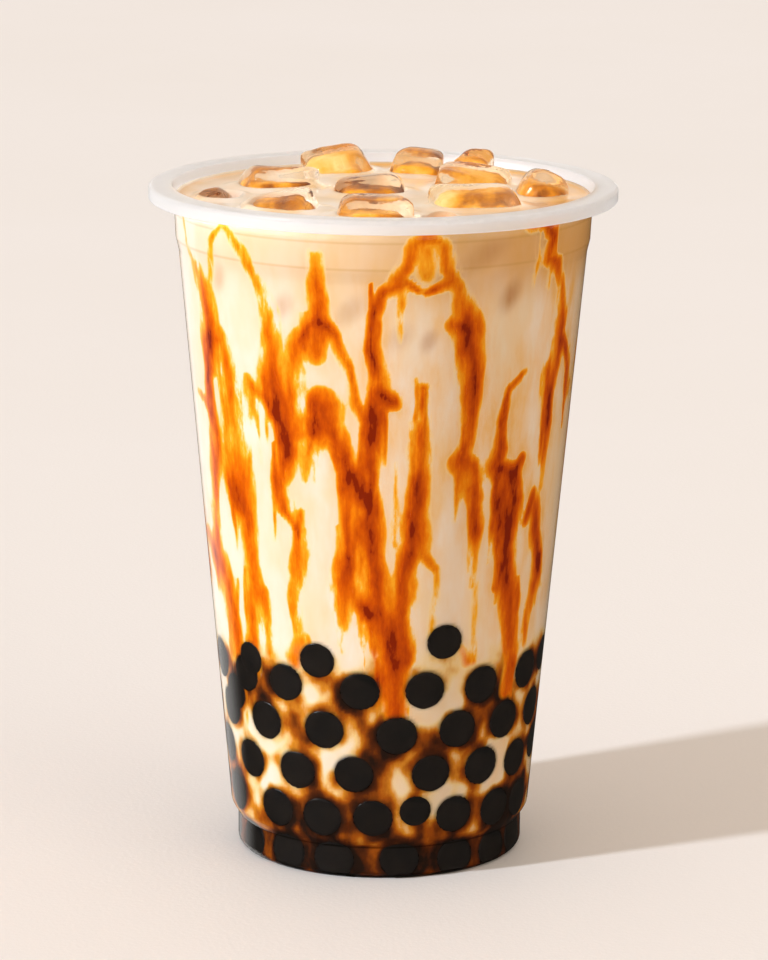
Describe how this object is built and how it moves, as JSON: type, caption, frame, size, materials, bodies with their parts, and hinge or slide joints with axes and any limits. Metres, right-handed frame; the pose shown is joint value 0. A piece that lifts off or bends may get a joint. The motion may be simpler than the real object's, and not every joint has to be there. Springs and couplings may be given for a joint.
{
  "type": "bubble tea",
  "caption": "Milk tea in a clear tapered plastic cup with a rolled rim, over a bed of tapioca pearls, with ice cubes floating at the brim",
  "frame": {"origin": "centre of the ring that the cup stands on", "axes": "+Z is the cup's axis, from the base up to the mouth; -Y is the side facing the viewer, +X is the viewer's right"},
  "size_m": [0.095, 0.095, 0.1413],
  "materials": {
    "clear_plastic": "clear polypropylene, frosted at the rim",
    "milk_tea": "opaque drink with a satin surface",
    "pearl": "wet and slightly glossy",
    "ice": "melting, tinted by the drink"
  },
  "bodies": {
    "root": {"cup": "clear_plastic", "milk_tea": "milk_tea", "pearls": "pearl", "ice_far_left": "ice", "ice_left": "ice", "ice_front_left": "ice", "ice_back_left": "ice", "ice_centre": "ice", "ice_front": "ice", "ice_back": "ice", "ice_back_right": "ice", "ice_right": "ice", "ice_front_right": "ice", "ice_far_right": "ice", "ice_front_tip": "ice"}
  },
  "joints": []
}
